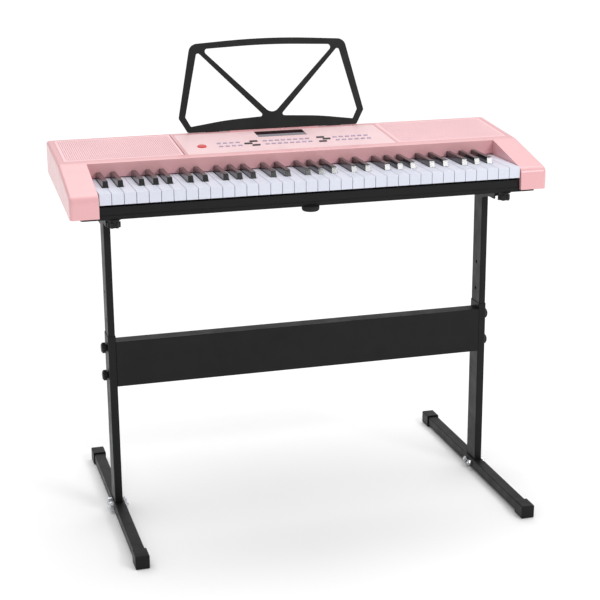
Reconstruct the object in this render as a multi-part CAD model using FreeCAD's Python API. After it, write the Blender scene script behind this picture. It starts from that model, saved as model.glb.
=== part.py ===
import FreeCAD, Part
import math
import os

# A 61-key toy electronic keyboard on its height-adjustable H-shaped stand, with a music rest.
# Millimetres. X runs along the keys (bass to treble), Y from the player to the back, Z up.
# The origin is on the floor, in the middle of the two feet.
# Bodies: the stand's base; the sliding upper frame with the keyboard fastened to it; the keys, the
# buttons, the knobs, the battery door and the music rest, which all move on the upper frame or base.

V = FreeCAD.Vector

# ---- keys ----
KEY_PITCH = 23.0
KEY_GAP = 1.0
WHITE_COUNT = 36
KEY_TOP_Z = 677.0
KEY_FRONT_Y = -125.0
KEY_LIP_HEIGHT = 21.5
KEY_LENGTH = 170.0
KEY_SKIN = 2.5
KEY_WALL = 1.6
KEY_SKIRT_Z = 660.8
SKIRT_START = 2.4
NOTCH_START = 51.0
BLACK_RISE = 12.5
BLACK_BASE_WIDTH = 11.0
BLACK_TOP_WIDTH = 9.5
BLACK_BOTTOM_Z = 664.0
BLACK_SLOPE = 5.0
BLACK_STEP = 139.5
BLACK_CAVITY_WIDTH = 7.0
PIVOT_Y = KEY_FRONT_Y + 163.0
PIVOT_Z = 664.0
PIVOT_RADIUS = 3.0
RUNNING_CLEARANCE = 0.05
HOOK_START = 156.0
HOOK_BOTTOM_Z = 655.0
HOOK_SLOT = 4.4
PLUNGER_START = 84.0
PLUNGER_LENGTH = 4.0
PLUNGER_WIDTH = 5.0
PLUNGER_BOTTOM_Z = 656.5
# Sideways offset of each black key from the joint between its two white keys.
BLACK_OFFSETS = {0: -2.6, 1: 2.6, 3: -3.6, 4: 0.0, 5: 3.6}
WHITE_NAMES = ("c", "d", "e", "f", "g", "a", "b")
BLACK_NAMES = {0: "c_sharp", 1: "d_sharp", 3: "f_sharp", 4: "g_sharp", 5: "a_sharp"}
MIDDLE_OCTAVE = 3

# ---- keyboard case ----
CASE_HALF_WIDTH = 469.0
CASE_FRONT_Y = KEY_FRONT_Y - 4.0
CASE_BACK_Y = KEY_FRONT_Y + 327.0
CASE_BOTTOM_Z = 627.0
FLOOR_THICKNESS = 2.3
FLOOR_TOP_Z = CASE_BOTTOM_Z + FLOOR_THICKNESS
SKIRT_FRONT_Z = CASE_BOTTOM_Z + 4.5
SKIRT_BACK_Z = 661.0
NOSE_Z = 673.2
NOSE_RADIUS = 14.0
CREST_Y = KEY_FRONT_Y + 146.0
CREST_Z = 707.6
BACK_TOP_Z = 723.5
SHELL = 3.0
SIDE_ROUNDING = 6.5
WELL_HALF_WIDTH = 415.0
FALLBOARD_Y = KEY_FRONT_Y + 140.5
FALLBOARD_BOTTOM_Z = 678.5
CHEEK = 2.5
TRAY_HALF_WIDTH = 448.5
TRAY_GAP = 0.5
TRAY_BACK_Y = KEY_FRONT_Y + 310.0
TRAY_WALL = 2.3
TRAY_WALL_TOP_Z = 666.0
RAIL_Y = KEY_FRONT_Y + 4.0
RAIL_TOP_Z = 651.0
RAIL_THICKNESS = 2.6
RAIL_BEAD = 1.2
PANEL_TILT = math.degrees(math.atan2(BACK_TOP_Z - CREST_Z, CASE_BACK_Y - CREST_Y))

# ---- control panel and grilles, measured back from the crest on the tilted top ----
RECESS_DEPTH = 1.8
LEDGE = 6.0
PLATE_GAP = 0.4
PLATE_THICKNESS = 1.6
PLATE_SINK = 0.2
GRILLE_INNER_X = 220.0
GRILLE_OUTER_X = 455.0
GRILLE_FRONT = 17.0
GRILLE_BACK = 172.0
# Width of the open seam between each grille plate and the middle of the top; the bass side's is wide.
GRILLE_SEAMS = {-1: 1.6, 1: 0.2}
PANEL_HALF_WIDTH = 214.0
PANEL_FRONT = 15.0
PANEL_BACK = 165.0
DISPLAY_X = 4.5
DISPLAY_WIDTH = 103.0
DISPLAY_FRONT = 116.0
DISPLAY_BACK = 161.0
BUTTON_ROW_FRONT = 60.0
BUTTON_ROW_BACK = 83.0
SMALL_BUTTON = (8.0, 4.6)
BAR_BUTTON = (16.0, 6.0)
BUTTON_RISE = 1.8
BUTTON_FOOT = -6.6
BUTTON_HOLE_GAP = 0.3
# First column, column pitch and number of columns of each group of small buttons.
SMALL_BUTTON_GROUPS = ((-138.0, 13.0, 4), (-43.0, 12.7, 8), (104.0, 13.3, 6))
TEMPO_BAR_SPOTS = ((-66.0, 85.0), (-80.0, 70.5), (-67.0, 56.0))
VOLUME_BAR_SPOTS = ((74.5, 87.0), (84.0, 73.0), (71.5, 56.0))
POWER_X = -175.5
POWER_BACK = 68.0
POWER_RADIUS = 9.0
POWER_RISE = 2.6
POWER_SKIRT_TOP = -2.9
BOARD_TOP = -8.6
BOARD_THICKNESS = 1.6

# ---- speakers ----
SPEAKER_X = 338.0
SPEAKER_BACK = 92.0
SPEAKER_RADIUS = 52.0
SPEAKER_FLANGE = 2.3
SPEAKER_BASKET_TAPER = 20.0
SPEAKER_BASKET_RIM = 4.0
SPEAKER_BASKET_DEPTH = 20.5
SPEAKER_MAGNET_RADIUS = 26.0
SPEAKER_MAGNET_DEPTH = 32.0
SPEAKER_CONE_THROAT = 12.0
SPEAKER_CONE_RIM = 8.0
SPEAKER_CONE_DEPTH = 15.0
SPEAKER_CAP_RADIUS = 13.0
SPEAKER_CAP_DEPTH = 22.0

# ---- music rest, laid out in its own leaning plane ----
REST_Y = KEY_FRONT_Y + 320.0
REST_Z = 723.5
REST_LEAN = 12.3
REST_THICKNESS = 4.0
REST_TAB_X = 130.0
REST_TAB_WIDTH = 30.0
REST_TAB_DEPTH = 14.0
REST_TAB_THICKNESS = 2.6
REST_SLOT_GAP = 0.5
# Corners of the rest's right half as (across, height, corner radius).
REST_EDGE = [(181.0, 0.0, 5.0), (198.0, 30.0, 5.0), (164.5, 179.0, 18.0), (0.0, 189.0, 1500.0)]
REST_CENTRE_WINDOW = [(0.0, 28.0, 18.0), (142.5, 168.5, 6.0), (0.0, 174.5, 1500.0)]
REST_WING_WINDOW = [
    (16.5, 26.5, 4.0),
    (100.0, 22.0, 600.0),
    (174.0, 12.0, 2.0),
    (184.5, 31.5, 3.0),
    (151.5, 165.0, 5.0),
]
REST_LIP_HALF_WIDTH = 95.0
REST_LIP_THICKNESS = 4.0
REST_LIP_HEIGHT = 2.0

# ---- stand ----
FOOT_X = 386.0
FOOT_WIDTH = 22.0
FOOT_HEIGHT = 20.0
FOOT_WALL = 1.5
FOOT_SOCKET_GAP = 0.15
FOOT_LIFT = 3.2
FOOT_HALF_LENGTH = 280.0
CAP_WIDTH = 27.0
CAP_HEIGHT = 26.4
CAP_LENGTH = 34.0
CAP_END = 2.5
CAP_GAP = 0.1
UPRIGHT_X = 387.0
UPRIGHT_Y = 2.0
LOWER_WIDTH = 15.5
LOWER_DEPTH = 45.0
LOWER_WALL = 1.0
LOWER_BOTTOM_Z = 5.5
LOWER_TOP_Z = 371.0
UPPER_WIDTH = 13.3
UPPER_DEPTH = 42.8
UPPER_WALL = 1.0
UPPER_BOTTOM_Z = 205.0
HOLE_PITCH = 56.5
UPPER_HOLES = 5
LOWER_KNOB_Z = 287.0
UPPER_KNOB_Z = LOWER_KNOB_Z + HOLE_PITCH
STUD_RADIUS = 3.0
BOSS_RADIUS = 7.0
BOSS_LENGTH = 2.0
KNOB_RADIUS = 10.5
KNOB_LENGTH = 8.5
KNOB_RIBS = 20
KNOB_RIB_DEPTH = 0.9
KNOB_GAP = 0.3
FOOT_BOLT_SPACING = 22.0
FOOT_BOLT_Z = FOOT_LIFT + FOOT_HEIGHT / 2
FOOT_BOLT_HEAD_RADIUS = 8.0
FOOT_BOLT_HEAD = 8.5
NUT_RADIUS = 6.0
NUT_LENGTH = 5.0
NUT_THREAD_END = 3.0
APRON_TOP_Z = 359.5
APRON_BOTTOM_Z = 268.0
APRON_SHEET = 1.5
APRON_TOP_FLANGE = 31.0
APRON_BOTTOM_FLANGE = 14.0
APRON_TAB_DEPTH = 38.0
APRON_SCREW_ZS = (276.0, 319.0, 352.0)
APRON_SCREW_RADIUS = 2.5
APRON_SCREW_HEAD_RADIUS = 4.5
APRON_SCREW_HEAD = 3.0

# ---- support arms under the keyboard ----
ARM_WIDTH = 26.0
ARM_SHEET = 2.0
ARM_KNOB_Y = KEY_FRONT_Y + 14.0
ARM_BACK_Y = 112.0
ARM_FLANGE_FRONT_Y = -95.0
ARM_SOCKET_Z = 598.0
ARM_TIP_DROP = 18.0
ARM_KNOB_RADIUS = 9.5
ARM_KNOB_LOBES = 6
ARM_KNOB_LOBE_RADIUS = 3.2
ARM_KNOB_HEIGHT = 14.0
INSERT_RADIUS = 6.0
INSERT_TOP_Z = 645.0
INSERT_DEPTH_Z = 642.0

# ---- inside the keyboard ----
BED_BOTTOM_Z = 640.0
BED_TOP_Z = 643.0
BED_HALF_WIDTH = 414.0
BED_FRONT = 9.0
BED_BACK = 176.0
BED_RIB = 2.4
BED_RIB_COUNT = 7
FELT_FRONT = 12.0
FELT_BACK = 24.0
FELT_BASE_Z = 648.5
FELT_TOP_Z = 652.0
CONTACT_FRONT = 62.0
CONTACT_BACK = 112.0
CONTACT_HALF_WIDTH = 410.0
RUBBER_FRONT = 70.0
RUBBER_BACK = 102.0
RUBBER_SHEET = 1.5
DOME_RADIUS = 3.4
DOME_TOP_Z = 651.5
BAY_HALF_WIDTH = 95.0
BAY_FRONT = 195.0
BAY_BACK = 275.0
BAY_WALL = 2.0
BAY_TOP_Z = 660.0
DOOR_GAP = 0.5
DOOR_THICKNESS = 2.0
DOOR_PIN_RADIUS = 0.7
DOOR_PIN_LENGTH = 1.8
DOOR_HINGE_Y = KEY_FRONT_Y + BAY_BACK - 1.5
DOOR_HINGE_Z = CASE_BOTTOM_Z + DOOR_THICKNESS / 2
DOOR_BACK_GAP = 0.8
DOOR_GRIP_HALF_WIDTH = 12.0
DOOR_GRIP_START = 6.0
DOOR_GRIP_PITCH = 4.0
DOOR_GRIP_GROOVES = 4
DOOR_GRIP_WIDTH = 1.5
DOOR_GRIP_DEPTH = 0.8
SCREW_PILLAR_RADIUS = 4.5
SCREW_PILLAR_BOTTOM_Z = 641.0
SCREW_RADIUS = 1.5
SCREW_SEAT = 4.2
SCREW_SEAT_RADIUS = 3.4
SCREW_HEAD_RADIUS = 3.0
SCREW_HEAD = 2.2
SCREW_REACH = 12.0
SCREW_SLOT_HALF_LENGTH = 2.0
SCREW_SLOT_HALF_WIDTH = 0.4
SCREW_SLOT_DEPTH = 0.8
SCREW_SPOTS = ((432.0, 40.0), (432.0, 158.0), (217.0, 190.0), (217.0, 295.0))
RUBBER_FOOT_RADIUS = 17.0
RUBBER_FOOT_HEIGHT = 10.0
CENTRE_FOOT_X = -12.0
CENTRE_FOOT_BACK = 9.0
BACK_FOOT_X = 330.0
BACK_FOOT_BACK = 285.0
JACK_Z = 690.0
JACK_XS = (250.0, 280.0, 316.0)
JACK_BORES = (1.8, 3.2, 2.8)
JACK_RADIUS = 5.0
JACK_FLANGE_RADIUS = 6.5
JACK_LENGTH = 14.0
JACK_FLANGE = 1.0
JACK_END = 2.0

OVERCUT = 5.0


# ---------------------------------------------------------------- helpers

def box(x0, x1, y0, y1, z0, z1):
    return Part.makeBox(x1 - x0, y1 - y0, z1 - z0, V(x0, y0, z0))


def rod(radius, start, end):
    axis = end.sub(start)
    return Part.makeCylinder(radius, axis.Length, start, axis)


def outline(corners):
    """Closed wire through (u, v, radius) corners in the XY plane; a radius rounds its corner."""
    count = len(corners)
    edges = []
    starts = []
    ends = []
    for i, (u, v, radius) in enumerate(corners):
        here = V(u, v, 0)
        before = V(corners[i - 1][0], corners[i - 1][1], 0).sub(here)
        after = V(corners[(i + 1) % count][0], corners[(i + 1) % count][1], 0).sub(here)
        before.normalize()
        after.normalize()
        half = before.getAngle(after) / 2
        if radius == 0:
            starts.append(here)
            ends.append(here)
            edges.append(None)
            continue
        reach = radius / math.tan(half)
        middle = before.add(after).normalize()
        tip = here.add(middle * (radius / math.sin(half) - radius))
        starts.append(here.add(before * reach))
        ends.append(here.add(after * reach))
        edges.append(Part.Arc(starts[-1], tip, ends[-1]).toShape())
    wire = []
    for i in range(count):
        if edges[i] is not None:
            wire.append(edges[i])
        following = starts[(i + 1) % count]
        if ends[i].sub(following).Length > 0.001:
            wire.append(Part.LineSegment(ends[i], following).toShape())
    return Part.Face(Part.Wire(wire))


def sharp(points):
    return [(u, v, 0) for u, v in points]


def plate(corners, z0, z1):
    """Corners as (x, y, radius), extruded from z0 to z1."""
    face = outline(corners)
    face.translate(V(0, 0, z0))
    return face.extrude(V(0, 0, z1 - z0))


def side_profile(corners, x0, x1):
    """Corners as (y, z, radius), extruded along X."""
    face = outline(corners)
    turn = FreeCAD.Rotation(V(0, 1, 0), V(0, 0, 1), V(1, 0, 0), "XYZ")
    face.Placement = FreeCAD.Placement(V(x0, 0, 0), turn)
    return face.extrude(V(x1 - x0, 0, 0))


def front_profile(corners, y0, y1):
    """Corners as (x, z, radius), extruded along Y."""
    face = outline(corners)
    face.Placement = FreeCAD.Placement(V(0, y0, 0), FreeCAD.Rotation(V(1, 0, 0), 90))
    return face.extrude(V(0, y1 - y0, 0))


def rectangle(x0, x1, y0, y1, radius=0.0):
    return [(x0, y0, radius), (x1, y0, radius), (x1, y1, radius), (x0, y1, radius)]


def mirrored(shape):
    return shape.mirror(V(0, 0, 0), V(1, 0, 0))


def both_sides(shape):
    return [mirrored(shape), shape]


def on_top(shape):
    """Moves a shape laid out on a level top, with y counted from the crest, onto the tilted top."""
    shape.rotate(V(0, 0, 0), V(1, 0, 0), PANEL_TILT)
    shape.translate(V(0, CREST_Y, CREST_Z))
    return shape


def on_rest(shape):
    """Moves a shape drawn in the music rest's plane (x, height, back) to where the rest leans."""
    shape.rotate(V(0, 0, 0), V(1, 0, 0), 90 - REST_LEAN)
    shape.translate(V(0, REST_Y, REST_Z))
    return shape


def join(shapes):
    return shapes[0].multiFuse(shapes[1:]).removeSplitter()


def save(node, shapes):
    solids = []
    for shape in shapes if isinstance(shapes, list) else [shapes]:
        solids.extend(shape.Solids)
    result = solids[0] if len(solids) == 1 else Part.makeCompound(solids)
    result.exportStep(os.path.join("parts", node + ".step"))


# ---------------------------------------------------------------- keys

def white_left(index):
    return (index - WHITE_COUNT / 2) * KEY_PITCH


def notch_depths(step):
    """How far the neighbouring black keys cut into the left and right of a white key's tail."""
    half = BLACK_BASE_WIDTH / 2 + KEY_GAP / 2
    left = half + BLACK_OFFSETS[step - 1] if step - 1 in BLACK_OFFSETS else 0.0
    right = half - BLACK_OFFSETS[step] if step in BLACK_OFFSETS else 0.0
    return left, right


def white_outline(index, inset, back):
    step = index % 7
    left, right = notch_depths(step)
    if index == WHITE_COUNT - 1:
        right = 0.0
    x0 = white_left(index) + KEY_GAP / 2 + inset
    x1 = white_left(index) + KEY_PITCH - KEY_GAP / 2 - inset
    y0 = KEY_FRONT_Y + inset
    notch_y = KEY_FRONT_Y + NOTCH_START - inset
    points = [(x0, y0), (x1, y0)]
    if right:
        points += [(x1, notch_y), (x1 - right, notch_y)]
    points += [(x1 - right, back), (x0 + left, back)]
    if left:
        points += [(x0 + left, notch_y), (x0, notch_y)]
    return sharp(points), (x0 + left + x1 - right) / 2


def hook_cut(x0, x1):
    """The round seat and the slot under it that let a key hang on the pivot ridge."""
    seat = rod(PIVOT_RADIUS + RUNNING_CLEARANCE, V(x0, PIVOT_Y, PIVOT_Z), V(x1, PIVOT_Y, PIVOT_Z))
    half = HOOK_SLOT / 2
    slot = box(x0, x1, PIVOT_Y - half, PIVOT_Y + half, HOOK_BOTTOM_Z - OVERCUT, PIVOT_Z)
    return seat.fuse(slot)


def plunger(centre_x, top_z):
    y0 = KEY_FRONT_Y + PLUNGER_START
    half = PLUNGER_WIDTH / 2
    return box(centre_x - half, centre_x + half, y0, y0 + PLUNGER_LENGTH, PLUNGER_BOTTOM_Z, top_z)


def white_key(index):
    lip_z = KEY_TOP_Z - KEY_LIP_HEIGHT
    corners, tail_x = white_outline(index, 0.0, KEY_FRONT_Y + KEY_LENGTH)
    body = plate(corners, lip_z, KEY_TOP_Z)
    body = soften(body, 0.8, front_top_edge)
    hollow, _ = white_outline(index, KEY_WALL, KEY_FRONT_Y + HOOK_START)
    body = body.cut(plate(hollow, lip_z - OVERCUT, KEY_TOP_Z - KEY_SKIN))
    x0 = white_left(index)
    x1 = x0 + KEY_PITCH
    under = box(x0, x1, KEY_FRONT_Y + SKIRT_START, KEY_FRONT_Y + HOOK_START, lip_z - OVERCUT, KEY_SKIRT_Z)
    body = body.cut(under).fuse(plunger(tail_x, KEY_TOP_Z - KEY_SKIN / 2))
    return body.cut(hook_cut(x0, x1)).removeSplitter()


def front_top_edge(edge):
    bounds = edge.BoundBox
    level = bounds.ZLength < 0.01 and abs(bounds.ZMax - KEY_TOP_Z) < 0.01
    return level and bounds.YLength < 0.01 and abs(bounds.YMin - KEY_FRONT_Y) < 0.01


def soften(shape, radius, wanted):
    edges = [e for e in shape.Edges if wanted(e)]
    return shape.makeFillet(radius, edges)


def black_centre(octave_start, step):
    return white_left(octave_start + step + 1) + BLACK_OFFSETS[step]


def black_key(octave_start, step):
    centre = black_centre(octave_start, step)
    half_base = BLACK_BASE_WIDTH / 2
    half_top = BLACK_TOP_WIDTH / 2
    top_z = KEY_TOP_Z + BLACK_RISE
    front = KEY_FRONT_Y + NOTCH_START
    back = KEY_FRONT_Y + KEY_LENGTH
    section = [
        (centre - half_base, HOOK_BOTTOM_Z, 0),
        (centre + half_base, HOOK_BOTTOM_Z, 0),
        (centre + half_base, KEY_TOP_Z, 0),
        (centre + half_top, top_z, 1.5),
        (centre - half_top, top_z, 1.5),
        (centre - half_base, KEY_TOP_Z, 0),
    ]
    side = [
        (front + 1.0, BLACK_BOTTOM_Z, 0),
        (KEY_FRONT_Y + HOOK_START, BLACK_BOTTOM_Z, 0),
        (KEY_FRONT_Y + HOOK_START, HOOK_BOTTOM_Z, 0),
        (back, HOOK_BOTTOM_Z, 0),
        (back, KEY_TOP_Z, 0),
        (KEY_FRONT_Y + BLACK_STEP, KEY_TOP_Z, 0),
        (KEY_FRONT_Y + BLACK_STEP, top_z, 0),
        (front + 1.0 + BLACK_SLOPE, top_z, 3.0),
        (front + 1.0, KEY_TOP_Z, 0),
    ]
    body = front_profile(section, front, back)
    body = body.common(side_profile(side, centre - half_base, centre + half_base))
    half = BLACK_CAVITY_WIDTH / 2
    hollow = box(centre - half, centre + half, front + 5.0, KEY_FRONT_Y + BLACK_STEP - 3.0,
                 BLACK_BOTTOM_Z - OVERCUT, top_z - 3.5)
    body = body.cut(hollow).fuse(plunger(centre, KEY_TOP_Z + BLACK_RISE - 2.0))
    return body.cut(hook_cut(centre - KEY_PITCH / 2, centre + KEY_PITCH / 2)).removeSplitter()


def make_keys():
    for octave in range(1, 6):
        first = (octave - 1) * 7
        if octave == MIDDLE_OCTAVE:
            for step, name in enumerate(WHITE_NAMES):
                save("white_key_" + name, white_key(first + step))
            for step, name in BLACK_NAMES.items():
                save("black_key_" + name, black_key(first, step))
            continue
        whites = [white_key(first + step) for step in range(7)]
        if octave == 5:
            whites.append(white_key(WHITE_COUNT - 1))
        save("white_keys_octave_%d" % octave, whites)
        save("black_keys_octave_%d" % octave, [black_key(first, step) for step in BLACK_OFFSETS])


def plunger_spots():
    spots = [white_outline(index, 0.0, 0.0)[1] for index in range(WHITE_COUNT)]
    for octave_start in range(0, WHITE_COUNT - 1, 7):
        spots += [black_centre(octave_start, step) for step in BLACK_OFFSETS]
    return spots


# ---------------------------------------------------------------- inside the keyboard

def make_key_bed():
    """Plastic frame that carries the keys, with their pivot ridge, and the pieces laid on it."""
    front = KEY_FRONT_Y + BED_FRONT
    back = KEY_FRONT_Y + BED_BACK
    half = BED_HALF_WIDTH
    pieces = [box(-half, half, front, back, BED_BOTTOM_Z, BED_TOP_Z)]
    pieces.append(box(-half, half, KEY_FRONT_Y + FELT_FRONT, KEY_FRONT_Y + FELT_BACK, BED_TOP_Z, FELT_BASE_Z))
    rib = BED_RIB / 2
    pieces.append(box(-half, half, PIVOT_Y - rib, PIVOT_Y + rib, BED_TOP_Z, PIVOT_Z))
    pieces.append(rod(PIVOT_RADIUS, V(-half, PIVOT_Y, PIVOT_Z), V(half, PIVOT_Y, PIVOT_Z)))
    for i in range(BED_RIB_COUNT):
        x = -half + rib + i * (2 * half - BED_RIB) / (BED_RIB_COUNT - 1)
        pieces.append(box(x - rib, x + rib, front + 20.0, back, FLOOR_TOP_Z, BED_BOTTOM_Z))
    bed = join(pieces)
    for x in (-UPRIGHT_X, UPRIGHT_X):
        low = V(x, ARM_KNOB_Y, BED_BOTTOM_Z - OVERCUT)
        bed = bed.cut(rod(INSERT_RADIUS + 1.0, low, V(x, ARM_KNOB_Y, INSERT_TOP_Z + 1.0)))
    save("key_bed", bed)
    felt_half = half - 2.0
    save("key_stop_felt", box(-felt_half, felt_half, KEY_FRONT_Y + FELT_FRONT, KEY_FRONT_Y + FELT_BACK,
                              FELT_BASE_Z, FELT_TOP_Z))
    board_top = BED_TOP_Z + BOARD_THICKNESS
    wide = CONTACT_HALF_WIDTH
    save("key_contact_board", box(-wide, wide, KEY_FRONT_Y + CONTACT_FRONT, KEY_FRONT_Y + CONTACT_BACK,
                                  BED_TOP_Z, board_top))
    sheet_top = board_top + RUBBER_SHEET
    strip = [box(-wide, wide, KEY_FRONT_Y + RUBBER_FRONT, KEY_FRONT_Y + RUBBER_BACK, board_top, sheet_top)]
    dome_y = KEY_FRONT_Y + PLUNGER_START + PLUNGER_LENGTH / 2
    for x in plunger_spots():
        height = DOME_TOP_Z - sheet_top
        strip.append(Part.makeCone(DOME_RADIUS, DOME_RADIUS * 0.7, height, V(x, dome_y, sheet_top)))
    save("contact_rubber", join(strip))


def make_boards_and_speakers():
    half = PANEL_HALF_WIDTH - 2 * LEDGE
    front = PANEL_FRONT + LEDGE + 2.0
    board = box(-half, half, front, DISPLAY_FRONT - 4.0, BOARD_TOP - BOARD_THICKNESS, BOARD_TOP)
    save("main_board", on_top(board))
    x0 = DISPLAY_X - DISPLAY_WIDTH / 2
    module = box(x0 + 3.0, x0 + DISPLAY_WIDTH - 3.0, DISPLAY_FRONT + 2.0, DISPLAY_BACK - 2.0, -8.0, -2.6)
    save("display_module", on_top(module))
    speakers = []
    for x in (-SPEAKER_X, SPEAKER_X):
        radius = SPEAKER_RADIUS
        top = -SHELL - 0.2
        basket_z = -SHELL - SPEAKER_BASKET_DEPTH
        flange = rod(radius, V(x, SPEAKER_BACK, top - SPEAKER_FLANGE), V(x, SPEAKER_BACK, top))
        basket = Part.makeCone(radius - SPEAKER_BASKET_TAPER, radius - SPEAKER_BASKET_RIM,
                               top - SPEAKER_FLANGE - basket_z, V(x, SPEAKER_BACK, basket_z))
        magnet = rod(SPEAKER_MAGNET_RADIUS, V(x, SPEAKER_BACK, -SHELL - SPEAKER_MAGNET_DEPTH),
                     V(x, SPEAKER_BACK, basket_z))
        dish = Part.makeCone(SPEAKER_CONE_THROAT, radius - SPEAKER_CONE_RIM, SPEAKER_CONE_DEPTH,
                             V(x, SPEAKER_BACK, -SHELL - SPEAKER_CONE_DEPTH))
        cap = Part.makeSphere(SPEAKER_CAP_RADIUS, V(x, SPEAKER_BACK, -SHELL - SPEAKER_CAP_DEPTH))
        frame = join([flange, basket, magnet]).cut(dish)
        speakers.append(on_top(join([frame, cap])))
    save("speakers", speakers)


# ---------------------------------------------------------------- case

def case_profile(inset):
    """Side outline of the case's skin; the inset outline is its inner face, open at the bottom."""
    return [
        (CASE_FRONT_Y + inset, SKIRT_FRONT_Z + inset, 0),
        (CASE_FRONT_Y + inset, NOSE_Z - inset * 0.8, NOSE_RADIUS - inset),
        (CREST_Y + inset * 0.15, CREST_Z - inset, 60.0),
        (CASE_BACK_Y - inset, BACK_TOP_Z - inset, 6.0 - inset),
        (CASE_BACK_Y - inset, SKIRT_BACK_Z + inset, 0),
    ]


def side_edge(edge):
    bounds = edge.BoundBox
    at_side = bounds.XLength < 0.01 and abs(abs(bounds.XMin) - CASE_HALF_WIDTH) < 0.01
    bottom = abs(bounds.YLength - (CASE_BACK_Y - CASE_FRONT_Y)) < 0.5 and bounds.ZMax < SKIRT_BACK_Z + 1.0
    return at_side and not bottom


def recess(x0, x1, front, back):
    """A shallow bed for a set-in plate, cut through the skin except for a ledge round its rim."""
    bed = plate(rectangle(x0, x1, front, back, 1.5), -RECESS_DEPTH, OVERCUT)
    way = plate(rectangle(x0 + LEDGE, x1 - LEDGE, front + LEDGE, back - LEDGE, 1.5), -4 * SHELL, OVERCUT)
    return on_top(bed.fuse(way))


def screw_spots():
    spots = []
    for x, back in SCREW_SPOTS:
        spots += [V(-x, KEY_FRONT_Y + back, 0), V(x, KEY_FRONT_Y + back, 0)]
    return spots


def make_top_case():
    half = CASE_HALF_WIDTH
    skin = side_profile(case_profile(0.0), -half, half)
    skin = soften(skin, SIDE_ROUNDING, side_edge)
    whole = skin.copy()
    inner = side_profile(case_profile(SHELL), -half + SHELL, half - SHELL)
    fallboard_back = FALLBOARD_Y + CHEEK
    well = WELL_HALF_WIDTH
    far_z = BACK_TOP_Z + OVERCUT
    low_z = CASE_BOTTOM_Z - OVERCUT
    rear = inner.common(box(-half, half, fallboard_back, CASE_BACK_Y, low_z, far_z))
    skin = skin.cut(rear)
    for side in (-1, 1):
        xs = sorted((side * (well + CHEEK), side * half))
        skin = skin.cut(inner.common(box(xs[0], xs[1], CASE_FRONT_Y, fallboard_back, low_z, far_z)))
    skin = skin.cut(box(-well, well, CASE_FRONT_Y - OVERCUT, FALLBOARD_Y, low_z, far_z))
    skin = skin.cut(box(-well, well, FALLBOARD_Y - 1.0, fallboard_back, low_z, FALLBOARD_BOTTOM_Z))
    mouth = TRAY_HALF_WIDTH + TRAY_GAP
    front = RAIL_Y - TRAY_GAP
    back = TRAY_BACK_Y + TRAY_GAP
    slope = (SKIRT_BACK_Z - SKIRT_FRONT_Z) / (CASE_BACK_Y - CASE_FRONT_Y)
    rise = SHELL + OVERCUT / 2
    floor_cut = [
        (front, low_z),
        (back, low_z),
        (back, SKIRT_FRONT_Z + slope * (back - CASE_FRONT_Y) + rise),
        (front, SKIRT_FRONT_Z + slope * (front - CASE_FRONT_Y) + rise),
    ]
    skin = skin.cut(side_profile(sharp(floor_cut), -mouth, mouth))
    pillars = []
    for spot in screw_spots():
        foot = V(spot.x, spot.y, SCREW_PILLAR_BOTTOM_Z)
        pillar = rod(SCREW_PILLAR_RADIUS, foot, V(spot.x, spot.y, far_z))
        pillars.append(pillar.common(whole))
    lip = on_top(box(-REST_LIP_HALF_WIDTH, REST_LIP_HALF_WIDTH, PANEL_BACK + 1.5,
                     PANEL_BACK + 1.5 + REST_LIP_THICKNESS, -1.0, REST_LIP_HEIGHT))
    skin = join([skin, lip] + pillars)
    skin = skin.cut(recess(-PANEL_HALF_WIDTH, PANEL_HALF_WIDTH, PANEL_FRONT, PANEL_BACK))
    for side, seam in GRILLE_SEAMS.items():
        xs = sorted((side * GRILLE_INNER_X, side * GRILLE_OUTER_X))
        skin = skin.cut(recess(xs[0], xs[1], GRILLE_FRONT, GRILLE_BACK))
        xs = sorted((side * GRILLE_INNER_X, side * (GRILLE_INNER_X + seam)))
        slit = box(xs[0], xs[1], GRILLE_FRONT + LEDGE, GRILLE_BACK - LEDGE, -4 * SHELL, OVERCUT)
        skin = skin.cut(on_top(slit))
    cuts = []
    for spot in screw_spots():
        bore_end = V(spot.x, spot.y, SCREW_PILLAR_BOTTOM_Z + SCREW_REACH + 4.0)
        cuts.append(rod(SCREW_RADIUS + 0.1, V(spot.x, spot.y, low_z), bore_end))
    for x in (-REST_TAB_X, REST_TAB_X):
        half_slot = REST_TAB_WIDTH / 2 + REST_SLOT_GAP
        cuts.append(on_rest(box(x - half_slot, x + half_slot, -REST_TAB_DEPTH - 2.0, 2.0,
                                -REST_TAB_THICKNESS - REST_SLOT_GAP, REST_SLOT_GAP)))
    for x in JACK_XS:
        seat_start = V(x, CASE_BACK_Y - SHELL - 1.0, JACK_Z)
        cuts.append(rod(JACK_RADIUS, seat_start, V(x, CASE_BACK_Y + 1.0, JACK_Z)))
    for cut in cuts:
        skin = skin.cut(cut)
    save("top_case", skin)


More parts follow.
